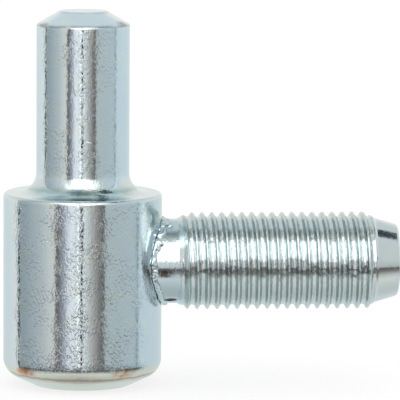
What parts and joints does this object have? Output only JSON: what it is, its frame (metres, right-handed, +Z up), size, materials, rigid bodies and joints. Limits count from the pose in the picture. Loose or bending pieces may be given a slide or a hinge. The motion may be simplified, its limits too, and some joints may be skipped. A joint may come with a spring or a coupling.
{
  "type": "drill-in hinge lower part",
  "caption": "Solid round hinge barrel with an upright pivot pin and a threaded stud welded to its side, zinc plated.",
  "frame": {"origin": "on the hinge axis, in the plane of the bearing shoulder that carries the upper barrel", "axes": "+Z up along the hinge axis and the pin, +X out along the threaded stud"},
  "size_m": [0.0392, 0.0156, 0.0371],
  "materials": {
    "barrel_plating": "gloss",
    "stud_plating": "gloss"
  },
  "bodies": {
    "root": {"hinge_barrel": "barrel_plating", "threaded_stud": "stud_plating"}
  },
  "joints": []
}
